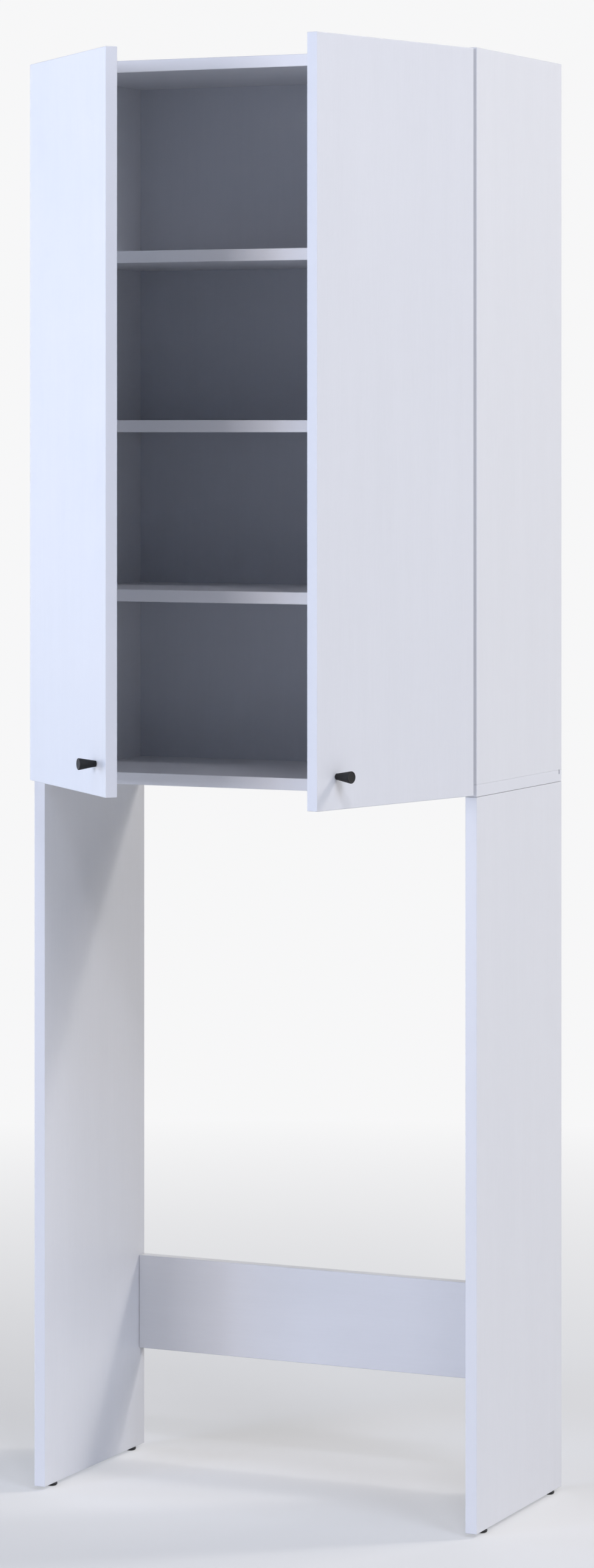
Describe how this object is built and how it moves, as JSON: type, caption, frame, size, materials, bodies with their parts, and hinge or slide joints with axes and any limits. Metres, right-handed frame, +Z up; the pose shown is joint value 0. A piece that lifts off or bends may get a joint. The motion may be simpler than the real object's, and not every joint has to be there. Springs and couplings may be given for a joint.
{
  "type": "over-washing-machine cabinet",
  "caption": "Tall white cabinet that stands over a washing machine: an upper cupboard with shelves behind hinged doors, on long side panels joined by a low rear rail.",
  "frame": {"origin": "centre of the underside of the box round the cabinet with its doors as pictured, on the floor", "axes": "+Z up, +X to the right of someone who faces the doors, +Y from the doors to the back"},
  "size_m": [0.64, 0.6066, 1.905],
  "materials": {
    "white_board": "white melamine-faced chipboard with matching edge bands, smooth satin",
    "back_board": "thin white-faced fibreboard, satin",
    "glide_plastic": "black moulded",
    "knob_plastic": "charcoal, fine matte",
    "hinge_steel": "pressed and nickel plated",
    "pin_steel": "drawn wire, bright",
    "screw_steel": "bright zinc"
  },
  "bodies": {
    "cabinet": {"side_panel_left": "white_board", "side_panel_right": "white_board", "leg_panel_left": "white_board", "leg_panel_right": "white_board", "bottom_panel": "white_board", "top_panel": "white_board", "shelf_lower": "white_board", "shelf_middle": "white_board", "shelf_upper": "white_board", "rear_rail": "white_board", "back_panel": "back_board", "glide_left_front": "glide_plastic", "glide_left_rear": "glide_plastic", "glide_right_front": "glide_plastic", "glide_right_rear": "glide_plastic", "hinge_lower_left_arm": "hinge_steel", "hinge_lower_left_plate": "hinge_steel", "hinge_upper_left_arm": "hinge_steel", "hinge_upper_left_plate": "hinge_steel", "hinge_lower_right_arm": "hinge_steel", "hinge_lower_right_plate": "hinge_steel", "hinge_upper_right_arm": "hinge_steel", "hinge_upper_right_plate": "hinge_steel", "hinge_lower_left_pin": "pin_steel", "hinge_upper_left_pin": "pin_steel", "hinge_lower_right_pin": "pin_steel", "hinge_upper_right_pin": "pin_steel", "hinge_lower_left_plate_screw_top": "screw_steel", "hinge_lower_left_plate_screw_bottom": "screw_steel", "hinge_lower_left_clamp_screw": "screw_steel", "hinge_upper_left_plate_screw_top": "screw_steel", "hinge_upper_left_plate_screw_bottom": "screw_steel", "hinge_upper_left_clamp_screw": "screw_steel", "hinge_lower_right_plate_screw_top": "screw_steel", "hinge_lower_right_plate_screw_bottom": "screw_steel", "hinge_lower_right_clamp_screw": "screw_steel", "hinge_upper_right_plate_screw_top": "screw_steel", "hinge_upper_right_plate_screw_bottom": "screw_steel", "hinge_upper_right_clamp_screw": "screw_steel"},
    "door_right": {"door_right": "white_board", "knob_right": "knob_plastic", "knob_screw_right": "screw_steel", "hinge_lower_right_cup": "hinge_steel", "hinge_lower_right_cup_screw_top": "screw_steel", "hinge_lower_right_cup_screw_bottom": "screw_steel", "hinge_upper_right_cup": "hinge_steel", "hinge_upper_right_cup_screw_top": "screw_steel", "hinge_upper_right_cup_screw_bottom": "screw_steel"},
    "door_left": {"door_left": "white_board", "knob_left": "knob_plastic", "knob_screw_left": "screw_steel", "hinge_lower_left_cup": "hinge_steel", "hinge_lower_left_cup_screw_top": "screw_steel", "hinge_lower_left_cup_screw_bottom": "screw_steel", "hinge_upper_left_cup": "hinge_steel", "hinge_upper_left_cup_screw_top": "screw_steel", "hinge_upper_left_cup_screw_bottom": "screw_steel"}
  },
  "joints": [
    {"name": "door_right_hinge", "type": "hinge", "parent": "cabinet", "child": "door_right", "pos_m": [0.30927, -0.0039, 1.42625], "axis": [0, 0, 1], "range_deg": [-75.3, 19.7]},
    {"name": "door_left_hinge", "type": "hinge", "parent": "cabinet", "child": "door_left", "pos_m": [-0.30927, -0.0039, 1.42625], "axis": [0, 0, -1], "range_deg": [-44.2, 50.8]}
  ]
}
